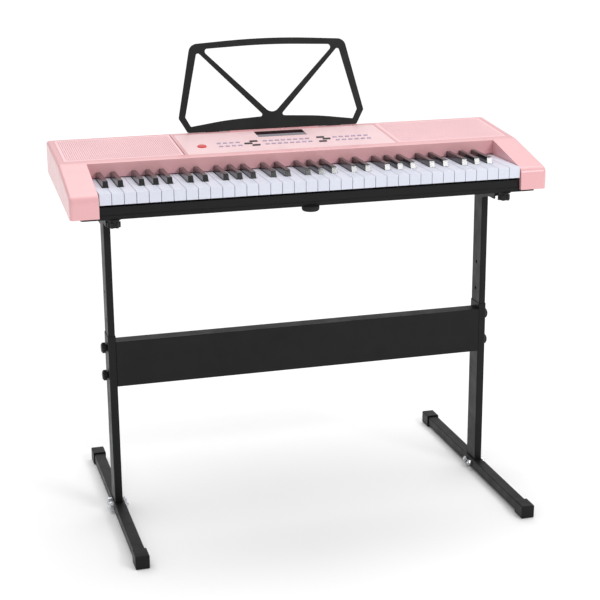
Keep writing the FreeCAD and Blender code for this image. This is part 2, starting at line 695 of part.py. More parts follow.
def make_bottom_case():
    half = TRAY_HALF_WIDTH
    front = RAIL_Y
    back = TRAY_BACK_Y
    floor_top = FLOOR_TOP_Z
    tray = plate(rectangle(-half, half, front, back, 6.0), CASE_BOTTOM_Z, TRAY_WALL_TOP_Z)
    well = WELL_HALF_WIDTH
    inside = rectangle(-half + TRAY_WALL, half - TRAY_WALL, front + RAIL_THICKNESS, back - TRAY_WALL, 4.0)
    tray = tray.cut(plate(inside, floor_top, TRAY_WALL_TOP_Z + OVERCUT))
    tray = tray.cut(box(-well - CHEEK - 1.0, well + CHEEK + 1.0, front - OVERCUT, front + 2 * RAIL_THICKNESS,
                        RAIL_TOP_Z, TRAY_WALL_TOP_Z + OVERCUT))
    for side in (-1, 1):
        xs = sorted((side * (well - 0.5), side * (well + CHEEK + 0.5)))
        tray = tray.cut(box(xs[0], xs[1], front - OVERCUT, front + 2 * RAIL_THICKNESS, floor_top,
                            TRAY_WALL_TOP_Z + OVERCUT))
    bead_z = CASE_BOTTOM_Z + 4.0
    bead = box(-well + 1.0, well - 1.0, front - RAIL_BEAD, front + 1.0, bead_z, bead_z + 4.0)
    bay = box(-BAY_HALF_WIDTH - BAY_WALL, BAY_HALF_WIDTH + BAY_WALL, KEY_FRONT_Y + BAY_FRONT - BAY_WALL,
              KEY_FRONT_Y + BAY_BACK + BAY_WALL, CASE_BOTTOM_Z, BAY_TOP_Z)
    inserts = []
    for x in (-UPRIGHT_X, UPRIGHT_X):
        inserts.append(rod(INSERT_RADIUS, V(x, ARM_KNOB_Y, CASE_BOTTOM_Z), V(x, ARM_KNOB_Y, INSERT_TOP_Z)))
    collars = []
    for spot in screw_spots():
        collars.append(rod(SCREW_PILLAR_RADIUS + 1.0, V(spot.x, spot.y, CASE_BOTTOM_Z),
                           V(spot.x, spot.y, SCREW_PILLAR_BOTTOM_Z - 0.2)))
    tray = join([tray, bead, bay] + inserts + collars)
    tray = tray.cut(box(-BAY_HALF_WIDTH, BAY_HALF_WIDTH, KEY_FRONT_Y + BAY_FRONT, KEY_FRONT_Y + BAY_BACK,
                        CASE_BOTTOM_Z - OVERCUT, BAY_TOP_Z - BAY_WALL))
    reach = BAY_HALF_WIDTH + BAY_WALL + 1.0
    pin_hole = cross_hole(DOOR_PIN_RADIUS + RUNNING_CLEARANCE, -reach, reach, DOOR_HINGE_Y, DOOR_HINGE_Z)
    tray = tray.cut(pin_hole)
    for x in (-UPRIGHT_X, UPRIGHT_X):
        tray = tray.cut(rod(STUD_RADIUS + RUNNING_CLEARANCE, V(x, ARM_KNOB_Y, CASE_BOTTOM_Z - OVERCUT),
                            V(x, ARM_KNOB_Y, INSERT_DEPTH_Z)))
    for spot in screw_spots():
        tray = tray.cut(rod(SCREW_SEAT_RADIUS, V(spot.x, spot.y, CASE_BOTTOM_Z - OVERCUT),
                            V(spot.x, spot.y, CASE_BOTTOM_Z + SCREW_SEAT)))
        bore_start = V(spot.x, spot.y, CASE_BOTTOM_Z)
        tray = tray.cut(rod(SCREW_RADIUS + 0.2, bore_start, V(spot.x, spot.y, BACK_TOP_Z)))
    save("bottom_case", tray)


def make_case_trim():
    screws = []
    for spot in screw_spots():
        seat_z = CASE_BOTTOM_Z + SCREW_SEAT
        head_z = seat_z - SCREW_HEAD
        head = rod(SCREW_HEAD_RADIUS, V(spot.x, spot.y, head_z), V(spot.x, spot.y, seat_z))
        tip = V(spot.x, spot.y, SCREW_PILLAR_BOTTOM_Z + SCREW_REACH)
        screw = join([head, rod(SCREW_RADIUS, V(spot.x, spot.y, seat_z - SCREW_HEAD / 2), tip)])
        long = SCREW_SLOT_HALF_LENGTH
        wide = SCREW_SLOT_HALF_WIDTH
        deep = head_z + SCREW_SLOT_DEPTH
        for x, y in ((long, wide), (wide, long)):
            screw = screw.cut(box(spot.x - x, spot.x + x, spot.y - y, spot.y + y, CASE_BOTTOM_Z, deep))
        screws.append(screw)
    save("case_screws", screws)
    feet = []
    places = [(x, BACK_FOOT_BACK) for x in (-BACK_FOOT_X, BACK_FOOT_X)]
    for x, y in [(CENTRE_FOOT_X, CENTRE_FOOT_BACK)] + places:
        bottom = V(x, KEY_FRONT_Y + y, CASE_BOTTOM_Z - RUBBER_FOOT_HEIGHT)
        foot = rod(RUBBER_FOOT_RADIUS, bottom, V(bottom.x, bottom.y, CASE_BOTTOM_Z))
        foot = soften(foot, 5.0, lambda e: e.BoundBox.ZMax < bottom.z + 0.1 and e.BoundBox.XLength > 1.0)
        feet.append(foot)
    save("rubber_feet", feet)
    jacks = []
    for x, bore in zip(JACK_XS, JACK_BORES):
        wall = CASE_BACK_Y
        barrel = rod(JACK_RADIUS - 0.1, V(x, wall - JACK_LENGTH, JACK_Z), V(x, wall, JACK_Z))
        flange = rod(JACK_FLANGE_RADIUS, V(x, wall, JACK_Z), V(x, wall + JACK_FLANGE, JACK_Z))
        jack = join([barrel, flange])
        bore_start = V(x, wall - JACK_LENGTH + JACK_END, JACK_Z)
        jacks.append(jack.cut(rod(bore, bore_start, V(x, wall + 2 * JACK_FLANGE, JACK_Z))))
    save("rear_jacks", jacks)
    x = BAY_HALF_WIDTH - DOOR_GAP
    front = KEY_FRONT_Y + BAY_FRONT + DOOR_GAP
    back = KEY_FRONT_Y + BAY_BACK - DOOR_BACK_GAP
    door = box(-x, x, front, back, CASE_BOTTOM_Z, CASE_BOTTOM_Z + DOOR_THICKNESS)
    for i in range(DOOR_GRIP_GROOVES):
        groove = front + DOOR_GRIP_START + DOOR_GRIP_PITCH * i
        door = door.cut(box(-DOOR_GRIP_HALF_WIDTH, DOOR_GRIP_HALF_WIDTH, groove, groove + DOOR_GRIP_WIDTH,
                            CASE_BOTTOM_Z - OVERCUT, CASE_BOTTOM_Z + DOOR_GRIP_DEPTH))
    for side in (-1, 1):
        xs = sorted((side * (x - 1.0), side * (x + DOOR_PIN_LENGTH)))
        door = door.fuse(cross_hole(DOOR_PIN_RADIUS, xs[0], xs[1], DOOR_HINGE_Y, DOOR_HINGE_Z))
    save("battery_door", door)


# ---------------------------------------------------------------- control panel

def small_button_spots():
    spots = []
    for first, pitch, count in SMALL_BUTTON_GROUPS:
        for column in range(count):
            for row in (BUTTON_ROW_FRONT, BUTTON_ROW_BACK):
                spots.append((first + column * pitch, row))
    return spots


def pad(x, y, size, grow, z0, z1):
    half_x = size[0] / 2 + grow
    half_y = size[1] / 2 + grow
    return plate(rectangle(x - half_x, x + half_x, y - half_y, y + half_y, 1.6), z0, z1)


def make_button(x, y, size):
    cap = pad(x, y, size, 0.0, -PLATE_THICKNESS - 1.0, BUTTON_RISE)
    cap = soften(cap, 0.5, lambda e: e.BoundBox.ZMin > BUTTON_RISE - 0.01)
    skirt = pad(x, y, size, 0.9, BUTTON_FOOT, -PLATE_THICKNESS - 0.6)
    return on_top(cap.fuse(skirt).removeSplitter())


def make_control_panel():
    gap = PLATE_GAP
    low = -PLATE_SINK - PLATE_THICKNESS
    half = PANEL_HALF_WIDTH - gap
    face = plate(rectangle(-half, half, PANEL_FRONT + gap, PANEL_BACK - gap, 1.2), low, -PLATE_SINK)
    holes = []
    for x, y in small_button_spots():
        holes.append(pad(x, y, SMALL_BUTTON, BUTTON_HOLE_GAP, -OVERCUT, OVERCUT))
    for x, y in TEMPO_BAR_SPOTS + VOLUME_BAR_SPOTS:
        holes.append(pad(x, y, BAR_BUTTON, BUTTON_HOLE_GAP, -OVERCUT, OVERCUT))
    power_low = V(POWER_X, POWER_BACK, -OVERCUT)
    holes.append(rod(POWER_RADIUS + BUTTON_HOLE_GAP, power_low, V(POWER_X, POWER_BACK, OVERCUT)))
    x0 = DISPLAY_X - DISPLAY_WIDTH / 2
    x1 = DISPLAY_X + DISPLAY_WIDTH / 2
    window = rectangle(x0, x1, DISPLAY_FRONT, DISPLAY_BACK, 1.0)
    holes.append(plate(window, -OVERCUT, OVERCUT))
    face = face.cut(Part.makeCompound(holes))
    save("control_panel", on_top(face))
    lens = rectangle(x0 + 0.2, x1 - 0.2, DISPLAY_FRONT + 0.2, DISPLAY_BACK - 0.2, 0.9)
    save("display_lens", on_top(plate(lens, low, -PLATE_SINK - 0.3)))
    save("panel_buttons", [make_button(x, y, SMALL_BUTTON) for x, y in small_button_spots()])
    save("tempo_buttons", [make_button(x, y, BAR_BUTTON) for x, y in TEMPO_BAR_SPOTS])
    save("volume_buttons", [make_button(x, y, BAR_BUTTON) for x, y in VOLUME_BAR_SPOTS])
    cap = rod(POWER_RADIUS, V(POWER_X, POWER_BACK, POWER_SKIRT_TOP - 0.1), V(POWER_X, POWER_BACK, POWER_RISE))
    cap = soften(cap, 2.0, lambda e: e.BoundBox.ZMin > POWER_RISE - 0.1)
    skirt_foot = V(POWER_X, POWER_BACK, BUTTON_FOOT)
    skirt = rod(POWER_RADIUS + 1.2, skirt_foot, V(POWER_X, POWER_BACK, POWER_SKIRT_TOP))
    save("power_button", on_top(cap.fuse(skirt).removeSplitter()))
    grilles = []
    for side, seam in GRILLE_SEAMS.items():
        xs = sorted((side * (GRILLE_INNER_X + seam), side * (GRILLE_OUTER_X - gap)))
        grilles.append(on_top(plate(rectangle(xs[0], xs[1], GRILLE_FRONT + gap, GRILLE_BACK - gap, 1.2),
                                    low, -PLATE_SINK)))
    save("speaker_grilles", grilles)


# ---------------------------------------------------------------- music rest

def with_mirror(corners):
    """Adds the mirror image of an outline's right half, to close it on the left."""
    return corners + [(-u, v, r) for u, v, r in reversed(corners) if abs(u) > 0.001]


def make_music_rest():
    frame = plate(with_mirror(REST_EDGE), -REST_THICKNESS, 0.0)
    frame = frame.cut(plate(with_mirror(REST_CENTRE_WINDOW), -2 * REST_THICKNESS, REST_THICKNESS))
    for flip in (-1, 1):
        corners = [(flip * u, v, r) for u, v, r in REST_WING_WINDOW]
        frame = frame.cut(plate(corners, -2 * REST_THICKNESS, REST_THICKNESS))
    tabs = []
    for x in (-REST_TAB_X, REST_TAB_X):
        half = REST_TAB_WIDTH / 2
        tabs.append(plate(rectangle(x - half, x + half, -REST_TAB_DEPTH, 4.0), -REST_TAB_THICKNESS, 0.0))
    save("music_rest", on_rest(join([frame] + tabs)))


# ---------------------------------------------------------------- stand

def tube(width, depth, wall, centre_x, centre_y, z0, z1):
    radius = 2.0
    half_x = width / 2
    half_y = depth / 2
    outside = rectangle(-half_x, half_x, -half_y, half_y, radius)
    inside = rectangle(wall - half_x, half_x - wall, wall - half_y, half_y - wall, radius - wall / 2)
    pipe = plate(outside, z0, z1).cut(plate(inside, z0 - OVERCUT, z1 + OVERCUT))
    pipe.translate(V(centre_x, centre_y, 0))
    return pipe


def cross_hole(radius, x0, x1, y, z):
    return rod(radius, V(x0, y, z), V(x1, y, z))


def foot_bolt_ys():
    return (UPRIGHT_Y - FOOT_BOLT_SPACING / 2, UPRIGHT_Y + FOOT_BOLT_SPACING / 2)


def foot_end_edge(edge):
    bounds = edge.BoundBox
    return abs(abs(bounds.YMin) - FOOT_HALF_LENGTH) < 0.01 and bounds.YLength < 0.01


def make_feet():
    half = FOOT_HALF_LENGTH - CAP_END
    x0 = FOOT_X - FOOT_WIDTH / 2
    x1 = FOOT_X + FOOT_WIDTH / 2
    top = FOOT_LIFT + FOOT_HEIGHT
    corners = [(x0, FOOT_LIFT, 2.0), (x1, FOOT_LIFT, 2.0), (x1, top, 2.0), (x0, top, 2.0)]
    wall = FOOT_WALL
    inside = [(x0 + wall, FOOT_LIFT + wall, 1.0), (x1 - wall, FOOT_LIFT + wall, 1.0),
              (x1 - wall, top - wall, 1.0), (x0 + wall, top - wall, 1.0)]
    foot = front_profile(corners, -half, half).cut(front_profile(inside, -half - 1.0, half + 1.0))
    gap = FOOT_SOCKET_GAP
    foot = foot.cut(box(UPRIGHT_X - LOWER_WIDTH / 2 - gap, UPRIGHT_X + LOWER_WIDTH / 2 + gap,
                        UPRIGHT_Y - LOWER_DEPTH / 2 - gap, UPRIGHT_Y + LOWER_DEPTH / 2 + gap,
                        top - 2 * wall, top + 1.0))
    for y in foot_bolt_ys():
        foot = foot.cut(cross_hole(STUD_RADIUS + 0.2, x0 - 1.0, x1 + 1.0, y, FOOT_BOLT_Z))
    left, right = both_sides(foot)
    save("foot_tube_left", left)
    save("foot_tube_right", right)
    caps = []
    for end in (-1, 1):
        ys = sorted((end * FOOT_HALF_LENGTH, end * (FOOT_HALF_LENGTH - CAP_LENGTH)))
        half_cap = CAP_WIDTH / 2
        face = rectangle(FOOT_X - half_cap, FOOT_X + half_cap, 0.0, CAP_HEIGHT, 2.5)
        body = front_profile(face, ys[0], ys[1])
        body = soften(body, 1.2, foot_end_edge)
        hollow = [(x0 - CAP_GAP, FOOT_LIFT - CAP_GAP, 2.0), (x1 + CAP_GAP, FOOT_LIFT - CAP_GAP, 2.0),
                  (x1 + CAP_GAP, top + CAP_GAP, 2.0), (x0 - CAP_GAP, top + CAP_GAP, 2.0)]
        ys = sorted((end * (FOOT_HALF_LENGTH - CAP_END), end * (FOOT_HALF_LENGTH - CAP_LENGTH - 1.0)))
        caps += both_sides(body.cut(front_profile(hollow, ys[0], ys[1])))
    save("foot_end_caps", caps)


def make_foot_fasteners():
    bolts = []
    nuts = []
    inner = FOOT_X - FOOT_WIDTH / 2
    outer = FOOT_X + FOOT_WIDTH / 2
    for y in foot_bolt_ys():
        head = cross_hole(FOOT_BOLT_HEAD_RADIUS, outer, outer + FOOT_BOLT_HEAD, y, FOOT_BOLT_Z)
        head = soften(head, 2.0, lambda e: e.BoundBox.XMin > outer + FOOT_BOLT_HEAD - 0.1)
        shank = cross_hole(STUD_RADIUS, inner - NUT_LENGTH - NUT_THREAD_END, outer + 1.0, y, FOOT_BOLT_Z)
        bolts += both_sides(join([head, shank]))
        corners = [(y + NUT_RADIUS * math.cos(math.radians(60 * k)),
                    FOOT_BOLT_Z + NUT_RADIUS * math.sin(math.radians(60 * k)), 0) for k in range(6)]
        nut = side_profile(corners, inner - NUT_LENGTH, inner)
        thread_start = inner - NUT_LENGTH - 1.0
        thread = cross_hole(STUD_RADIUS + RUNNING_CLEARANCE, thread_start, inner + 1.0, y, FOOT_BOLT_Z)
        nuts += both_sides(nut.cut(thread))
    save("foot_bolts", bolts)
    save("foot_nuts", nuts)


def make_uprights():
    lower = tube(LOWER_WIDTH, LOWER_DEPTH, LOWER_WALL, UPRIGHT_X, UPRIGHT_Y, LOWER_BOTTOM_Z, LOWER_TOP_Z)
    outer = UPRIGHT_X + LOWER_WIDTH / 2
    inner = UPRIGHT_X - LOWER_WIDTH / 2
    for z in (LOWER_KNOB_Z, UPPER_KNOB_Z):
        lower = lower.fuse(cross_hole(BOSS_RADIUS, outer - LOWER_WALL / 2, outer + BOSS_LENGTH, UPRIGHT_Y, z))
    lower = lower.removeSplitter()
    for z in (LOWER_KNOB_Z, UPPER_KNOB_Z):
        bore = STUD_RADIUS + RUNNING_CLEARANCE
        lower = lower.cut(cross_hole(bore, outer - OVERCUT, outer + OVERCUT, UPRIGHT_Y, z))
    for y in foot_bolt_ys():
        lower = lower.cut(cross_hole(STUD_RADIUS + 0.2, inner - 1.0, outer + 1.0, y, FOOT_BOLT_Z))
    for z in APRON_SCREW_ZS:
        bore = APRON_SCREW_RADIUS + 0.1
        lower = lower.cut(cross_hole(bore, inner - 1.0, inner + LOWER_WALL + 1.0, UPRIGHT_Y, z))
    left, right = both_sides(lower)
    save("lower_upright_left", left)
    save("lower_upright_right", right)

    web_z = CASE_BOTTOM_Z - ARM_SHEET
    upper = tube(UPPER_WIDTH, UPPER_DEPTH, UPPER_WALL, UPRIGHT_X, UPRIGHT_Y, UPPER_BOTTOM_Z, web_z)
    for k in range(UPPER_HOLES):
        z = LOWER_KNOB_Z + (k - 1) * HOLE_PITCH
        upper = upper.cut(cross_hole(STUD_RADIUS + 0.5, inner, outer, UPRIGHT_Y, z))
    left, right = both_sides(upper)
    save("upper_upright_left", left)
    save("upper_upright_right", right)


def make_apron():
    half = UPRIGHT_X - LOWER_WIDTH / 2
    front = UPRIGHT_Y - LOWER_DEPTH / 2
    sheet = APRON_SHEET
    pieces = [box(-half, half, front, front + sheet, APRON_BOTTOM_Z, APRON_TOP_Z)]
    pieces.append(box(-half, half, front, front + APRON_TOP_FLANGE, APRON_TOP_Z - sheet, APRON_TOP_Z))
    low = APRON_BOTTOM_Z
    pieces.append(box(-half, half, front, front + APRON_BOTTOM_FLANGE, low, low + sheet))
    for side in (-1, 1):
        xs = sorted((side * half, side * (half - sheet)))
        pieces.append(box(xs[0], xs[1], front, front + APRON_TAB_DEPTH, low + 3.0, APRON_TOP_Z - 3.0))
    apron = join(pieces)
    apron = soften(apron, 1.2, apron_bend)
    for z in APRON_SCREW_ZS:
        apron = apron.cut(cross_hole(APRON_SCREW_RADIUS + 0.1, -half - 1.0, half + 1.0, UPRIGHT_Y, z))
    save("apron_panel", apron)
    screws = []
    for z in APRON_SCREW_ZS:
        head_end = half - sheet - APRON_SCREW_HEAD
        head = cross_hole(APRON_SCREW_HEAD_RADIUS, head_end, half - sheet, UPRIGHT_Y, z)
        head = soften(head, 1.2, lambda e: e.BoundBox.XMax < head_end + 0.1)
        shank = cross_hole(APRON_SCREW_RADIUS, half - sheet - 1.0, half + LOWER_WALL, UPRIGHT_Y, z)
        screws += both_sides(join([head, shank]))
    save("apron_screws", screws)


def apron_bend(edge):
    bounds = edge.BoundBox
    long_edge = bounds.XLength > 2 * (UPRIGHT_X - LOWER_WIDTH) - 10.0
    at_front = abs(bounds.YMin - (UPRIGHT_Y - LOWER_DEPTH / 2)) < 0.01 and bounds.YLength < 0.01
    return long_edge and at_front


def make_height_knobs():
    outer = UPRIGHT_X + LOWER_WIDTH / 2
    start = outer + BOSS_LENGTH + KNOB_GAP
    corners = []
    for k in range(2 * KNOB_RIBS):
        radius = KNOB_RADIUS - (KNOB_RIB_DEPTH if k % 2 else 0.0)
        angle = math.pi * k / KNOB_RIBS
        corners.append((UPRIGHT_Y + radius * math.cos(angle), radius * math.sin(angle), 0))
    for name, z in (("lower", LOWER_KNOB_Z), ("upper", UPPER_KNOB_Z)):
        head = side_profile(corners, start, start + KNOB_LENGTH - 2.0)
        head.translate(V(0, 0, z))
        face = Part.makeCone(KNOB_RADIUS - KNOB_RIB_DEPTH, KNOB_RADIUS - 3.0, 2.0,
                             V(start + KNOB_LENGTH - 2.0, UPRIGHT_Y, z), V(1, 0, 0))
        stud = cross_hole(STUD_RADIUS, outer - LOWER_WALL + 0.05, start + 1.0, UPRIGHT_Y, z)
        left, right = both_sides(join([head, face, stud]))
        save("height_knob_left_" + name, left)
        save("height_knob_right_" + name, right)


def make_support_arms():
    x0 = UPRIGHT_X - ARM_WIDTH / 2
    x1 = UPRIGHT_X + ARM_WIDTH / 2
    top = CASE_BOTTOM_Z
    tip = ARM_KNOB_Y - ARM_WIDTH / 2
    tip_radius = ARM_WIDTH / 2 - 0.5
    web = plate([(x0, tip, tip_radius), (x1, tip, tip_radius), (x1, ARM_BACK_Y, 4.0), (x0, ARM_BACK_Y, 4.0)],
                top - ARM_SHEET, top)
    drop = top - ARM_TIP_DROP
    flange = [
        (ARM_FLANGE_FRONT_Y, top, 0),
        (ARM_FLANGE_FRONT_Y, drop, 3.0),
        (ARM_FLANGE_FRONT_Y + 30.0, drop, 60.0),
        (UPRIGHT_Y - UPPER_DEPTH / 2 - 6.0, ARM_SOCKET_Z, 8.0),
        (UPRIGHT_Y + UPPER_DEPTH / 2 + 6.0, ARM_SOCKET_Z, 8.0),
        (ARM_BACK_Y - 30.0, drop, 60.0),
        (ARM_BACK_Y - 4.0, drop, 3.0),
        (ARM_BACK_Y - 4.0, top, 0),
    ]
    arm = join([web, side_profile(flange, x0, x0 + ARM_SHEET), side_profile(flange, x1 - ARM_SHEET, x1)])
    arm = arm.cut(rod(STUD_RADIUS + 0.5, V(UPRIGHT_X, ARM_KNOB_Y, top - OVERCUT),
                      V(UPRIGHT_X, ARM_KNOB_Y, top + OVERCUT)))
    left, right = both_sides(arm)
    save("support_arm_left", left)
    save("support_arm_right", right)

    knob_top = top - ARM_SHEET - KNOB_GAP
    knob_bottom = knob_top - ARM_KNOB_HEIGHT
    pieces = [rod(ARM_KNOB_RADIUS, V(UPRIGHT_X, ARM_KNOB_Y, knob_bottom), V(UPRIGHT_X, ARM_KNOB_Y, knob_top))]
    for k in range(ARM_KNOB_LOBES):
        angle = math.radians(360 * k / ARM_KNOB_LOBES)
        x = UPRIGHT_X + ARM_KNOB_RADIUS * math.cos(angle)
        y = ARM_KNOB_Y + ARM_KNOB_RADIUS * math.sin(angle)
        pieces.append(rod(ARM_KNOB_LOBE_RADIUS, V(x, y, knob_bottom), V(x, y, knob_top - 4.0)))
    pieces.append(rod(STUD_RADIUS, V(UPRIGHT_X, ARM_KNOB_Y, knob_top - 1.0),
                      V(UPRIGHT_X, ARM_KNOB_Y, INSERT_DEPTH_Z - 1.0)))
    left, right = both_sides(join(pieces))
    save("arm_knob_left", left)
    save("arm_knob_right", right)


def main():
    os.makedirs("parts", exist_ok=True)
    make_feet()
    make_foot_fasteners()
    make_uprights()
    make_apron()
    make_height_knobs()
    make_support_arms()
    make_top_case()
    make_bottom_case()
    make_case_trim()
    make_control_panel()
    make_boards_and_speakers()
    make_key_bed()
    make_keys()
    make_music_rest()


main()
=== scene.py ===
import math

import bpy
from mathutils import Matrix, Vector


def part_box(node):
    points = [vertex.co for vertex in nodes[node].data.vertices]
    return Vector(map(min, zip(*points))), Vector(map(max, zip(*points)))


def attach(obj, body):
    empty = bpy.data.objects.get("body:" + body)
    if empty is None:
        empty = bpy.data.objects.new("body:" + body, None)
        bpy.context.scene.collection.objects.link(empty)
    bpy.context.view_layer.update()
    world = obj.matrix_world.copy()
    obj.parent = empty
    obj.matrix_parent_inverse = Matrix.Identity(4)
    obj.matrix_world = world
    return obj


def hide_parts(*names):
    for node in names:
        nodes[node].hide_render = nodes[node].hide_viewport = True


# A pink 61-key toy electronic keyboard on a black H-shaped stand, with a leaning music rest.
# Metres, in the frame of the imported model: X along the keys, Y to the back, Z up from the floor.

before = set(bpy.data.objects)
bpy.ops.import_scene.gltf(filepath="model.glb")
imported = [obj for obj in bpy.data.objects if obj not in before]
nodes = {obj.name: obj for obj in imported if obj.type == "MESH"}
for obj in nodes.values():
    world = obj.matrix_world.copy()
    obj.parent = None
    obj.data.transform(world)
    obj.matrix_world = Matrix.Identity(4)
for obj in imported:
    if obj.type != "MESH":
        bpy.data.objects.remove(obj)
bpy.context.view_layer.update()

MM = 0.001

# ---- light ----
WORLD_STRENGTH = 0.54
SUN_STRENGTH = 1.85
SUN_ANGLE = 70.0
SUN_DIRECTION = (-0.05, -0.35, -1.0)
SOFTBOX_PLACE = (1.50, -2.60, 2.25)
SOFTBOX_TARGET = (0.2, 0.0, 0.68)
SOFTBOX_WIDTH = 1.15
SOFTBOX_HEIGHT = 0.28
SOFTBOX_WATTS = 31.0

# ---- camera, angles in degrees ----
CAMERA_PLACE = (-0.78124, -2.74291, 1.24264)
CAMERA_YAW = 15.876
CAMERA_PITCH = 16.338
CAMERA_ROLL = -0.4045
CAMERA_LENS = 88.52
CAMERA_SENSOR = 36.0
CAMERA_REACH = 200.0

# ---- floor ----
FLOOR_HALF = 40.0
FLOOR_Z = -0.6 * MM

# ---- speaker grilles ----
GRILLE_THICKNESS = 1.6 * MM
GRILLE_BORDER = 4.5 * MM
GRILLE_PITCH = 4.0 * MM
GRILLE_HOLE_RADIUS = 1.15 * MM
GRILLE_HOLE_SIDES = 8
TILT_STEPS = 30

# ---- display window ----
BAND_SHARE = 0.43
MARK_PITCH = 7.0 * MM
MARK_SHARE = 0.45
MARK_START = 3.4 * MM
MARK_END = 4.8 * MM
MARK_TONE = 0.3

# ---- surfaces ----
NOISE_LOW = 0.3
NOISE_HIGH = 0.7
BLOTCH_DETAIL = 3.0
SMUDGE_SCALE = 34.0
SMUDGE_DETAIL = 5.0
GRAIN_DETAIL = 2.0
BEVEL_SAMPLES = 4
EDGE_START = 0.995
EDGE_FULL = 0.80

# ---- colour sockets of the Mix node ----
MIX_FIRST = 6
MIX_SECOND = 7
MIX_RESULT = 2

# ---- colours, linear ----
PINK = (0.81, 0.425, 0.445)
PANEL_PINK = (0.86, 0.61, 0.63)
GRILLE_PINK = (0.89, 0.57, 0.60)
WHITE_KEY = (0.70, 0.72, 0.82)
BLACK_KEY = (0.007, 0.007, 0.009)
STEEL_BLACK = (0.0058, 0.0058, 0.0062)
PLASTIC_BLACK = (0.006, 0.006, 0.007)
CHARCOAL = (0.0105, 0.011, 0.0105)
RED = (0.70, 0.022, 0.02)
BUTTON_GREY = (0.50, 0.43, 0.56)
BUTTON_DARK = (0.04, 0.034, 0.04)
ZINC = (0.62, 0.63, 0.66)
LENS_DARK = (0.028, 0.010, 0.013)
LENS_GREY = (0.33, 0.31, 0.35)
FELT = (0.018, 0.010, 0.014)
RUBBER = (0.01, 0.01, 0.011)
INSIDE_GREY = (0.035, 0.035, 0.035)
BOARD_GREEN = (0.02, 0.14, 0.05)
FLOOR = (0.97, 0.97, 0.97)


# ---------------------------------------------------------------- materials

def value_range(tree, source, low, high):
    """Maps a noise output, which mostly lies between NOISE_LOW and NOISE_HIGH, to low and high."""
    node = tree.nodes.new("ShaderNodeMapRange")
    node.inputs["From Min"].default_value = NOISE_LOW
    node.inputs["From Max"].default_value = NOISE_HIGH
    node.inputs["To Min"].default_value = low
    node.inputs["To Max"].default_value = high
    tree.links.new(source, node.inputs["Value"])
    return node.outputs["Result"]


def noise(tree, position, scale, detail=BLOTCH_DETAIL):
    node = tree.nodes.new("ShaderNodeTexNoise")
    node.inputs["Scale"].default_value = scale
    node.inputs["Detail"].default_value = detail
    tree.links.new(position, node.inputs["Vector"])
    return node.outputs["Fac"]


def mix_colours(tree, factor, first, second):
    node = tree.nodes.new("ShaderNodeMix")
    node.data_type = "RGBA"
    for socket, colour in ((node.inputs[MIX_FIRST], first), (node.inputs[MIX_SECOND], second)):
        if isinstance(colour, tuple):
            socket.default_value = (*colour, 1.0)
        else:
            tree.links.new(colour, socket)
    tree.links.new(factor, node.inputs[0])
    return node.outputs[MIX_RESULT]


def wear_and_sheen_mask(tree, radius, strength):
    """1 on convex and concave edges within the radius, 0 on the flats, times the strength; used to paint
    edge highlight as well as wear.
    """
    bevel = tree.nodes.new("ShaderNodeBevel")
    bevel.samples = BEVEL_SAMPLES
    bevel.inputs["Radius"].default_value = radius
    geometry = tree.nodes.new("ShaderNodeNewGeometry")
    dot = tree.nodes.new("ShaderNodeVectorMath")
    dot.operation = "DOT_PRODUCT"
    tree.links.new(bevel.outputs["Normal"], dot.inputs[0])
    tree.links.new(geometry.outputs["Normal"], dot.inputs[1])
    node = tree.nodes.new("ShaderNodeMapRange")
    node.inputs["From Min"].default_value = EDGE_START
    node.inputs["From Max"].default_value = EDGE_FULL
    node.inputs["To Min"].default_value = 0.0
    node.inputs["To Max"].default_value = strength
    tree.links.new(dot.outputs["Value"], node.inputs["Value"])
    return node.outputs["Result"], bevel.outputs["Normal"]


def tone(colour, factor):
    return tuple(min(c * factor, 1.0) for c in colour)


def finish(name, colour, roughness, spread=0.05, blotch=9.0, grain=1400.0, grain_height=0.012,
           smudge=0.08, edge=0.8, wear_and_sheen=0.35, wear_and_sheen_tone=1.25, metallic=0.0, specular=0.5, coat=0.0,
           coat_roughness=0.1, paint=None):
    """Moulded, painted or plated surface: uneven tone, fine grain, smudges, and edges mixed towards a
    second tone, partly wear and partly painted highlight.
    """
    made = bpy.data.materials.new(name)
    made.use_nodes = True
    tree = made.node_tree
    shader = tree.nodes["Principled BSDF"]
    position = tree.nodes.new("ShaderNodeTexCoord").outputs["Object"]
    first = tone(colour, 1.0 - spread)
    second = tone(colour, 1.0 + spread)
    body = mix_colours(tree, value_range(tree, noise(tree, position, blotch), 0.0, 1.0), first, second)
    if paint:
        body = paint(tree, position, body)
    # Painted edge highlight: convex and concave edges are mixed towards a lighter tone of the colour,
    # partly wear and partly painted sheen for light on rounded edges.
    worn_and_sheen, rounded = wear_and_sheen_mask(tree, edge * MM, wear_and_sheen)
    body = mix_colours(tree, worn_and_sheen, body, tone(colour, wear_and_sheen_tone))
    tree.links.new(body, shader.inputs["Base Color"])
    rough = value_range(tree, noise(tree, position, SMUDGE_SCALE, SMUDGE_DETAIL),
                        roughness - smudge, roughness + smudge)
    tree.links.new(rough, shader.inputs["Roughness"])
    shader.inputs["Metallic"].default_value = metallic
    shader.inputs["Specular IOR Level"].default_value = specular
    shader.inputs["Coat Weight"].default_value = coat
    shader.inputs["Coat Roughness"].default_value = coat_roughness
    bump = tree.nodes.new("ShaderNodeBump")
    bump.inputs["Strength"].default_value = 1.0
    bump.inputs["Distance"].default_value = grain_height * MM
    tree.links.new(noise(tree, position, grain, GRAIN_DETAIL), bump.inputs["Height"])
    tree.links.new(rounded, bump.inputs["Normal"])
    tree.links.new(bump.outputs["Normal"], shader.inputs["Normal"])
    return made


def axis_value(tree, position, axis):
    node = tree.nodes.new("ShaderNodeSeparateXYZ")
    tree.links.new(position, node.inputs[0])
    return node.outputs[axis]


def math_node(tree, operation, first, second):
    node = tree.nodes.new("ShaderNodeMath")
    node.operation = operation
    for socket, value in zip(node.inputs, (first, second)):
        if isinstance(value, (int, float)):
            socket.default_value = value
        else:
            tree.links.new(value, socket)
    return node.outputs[0]


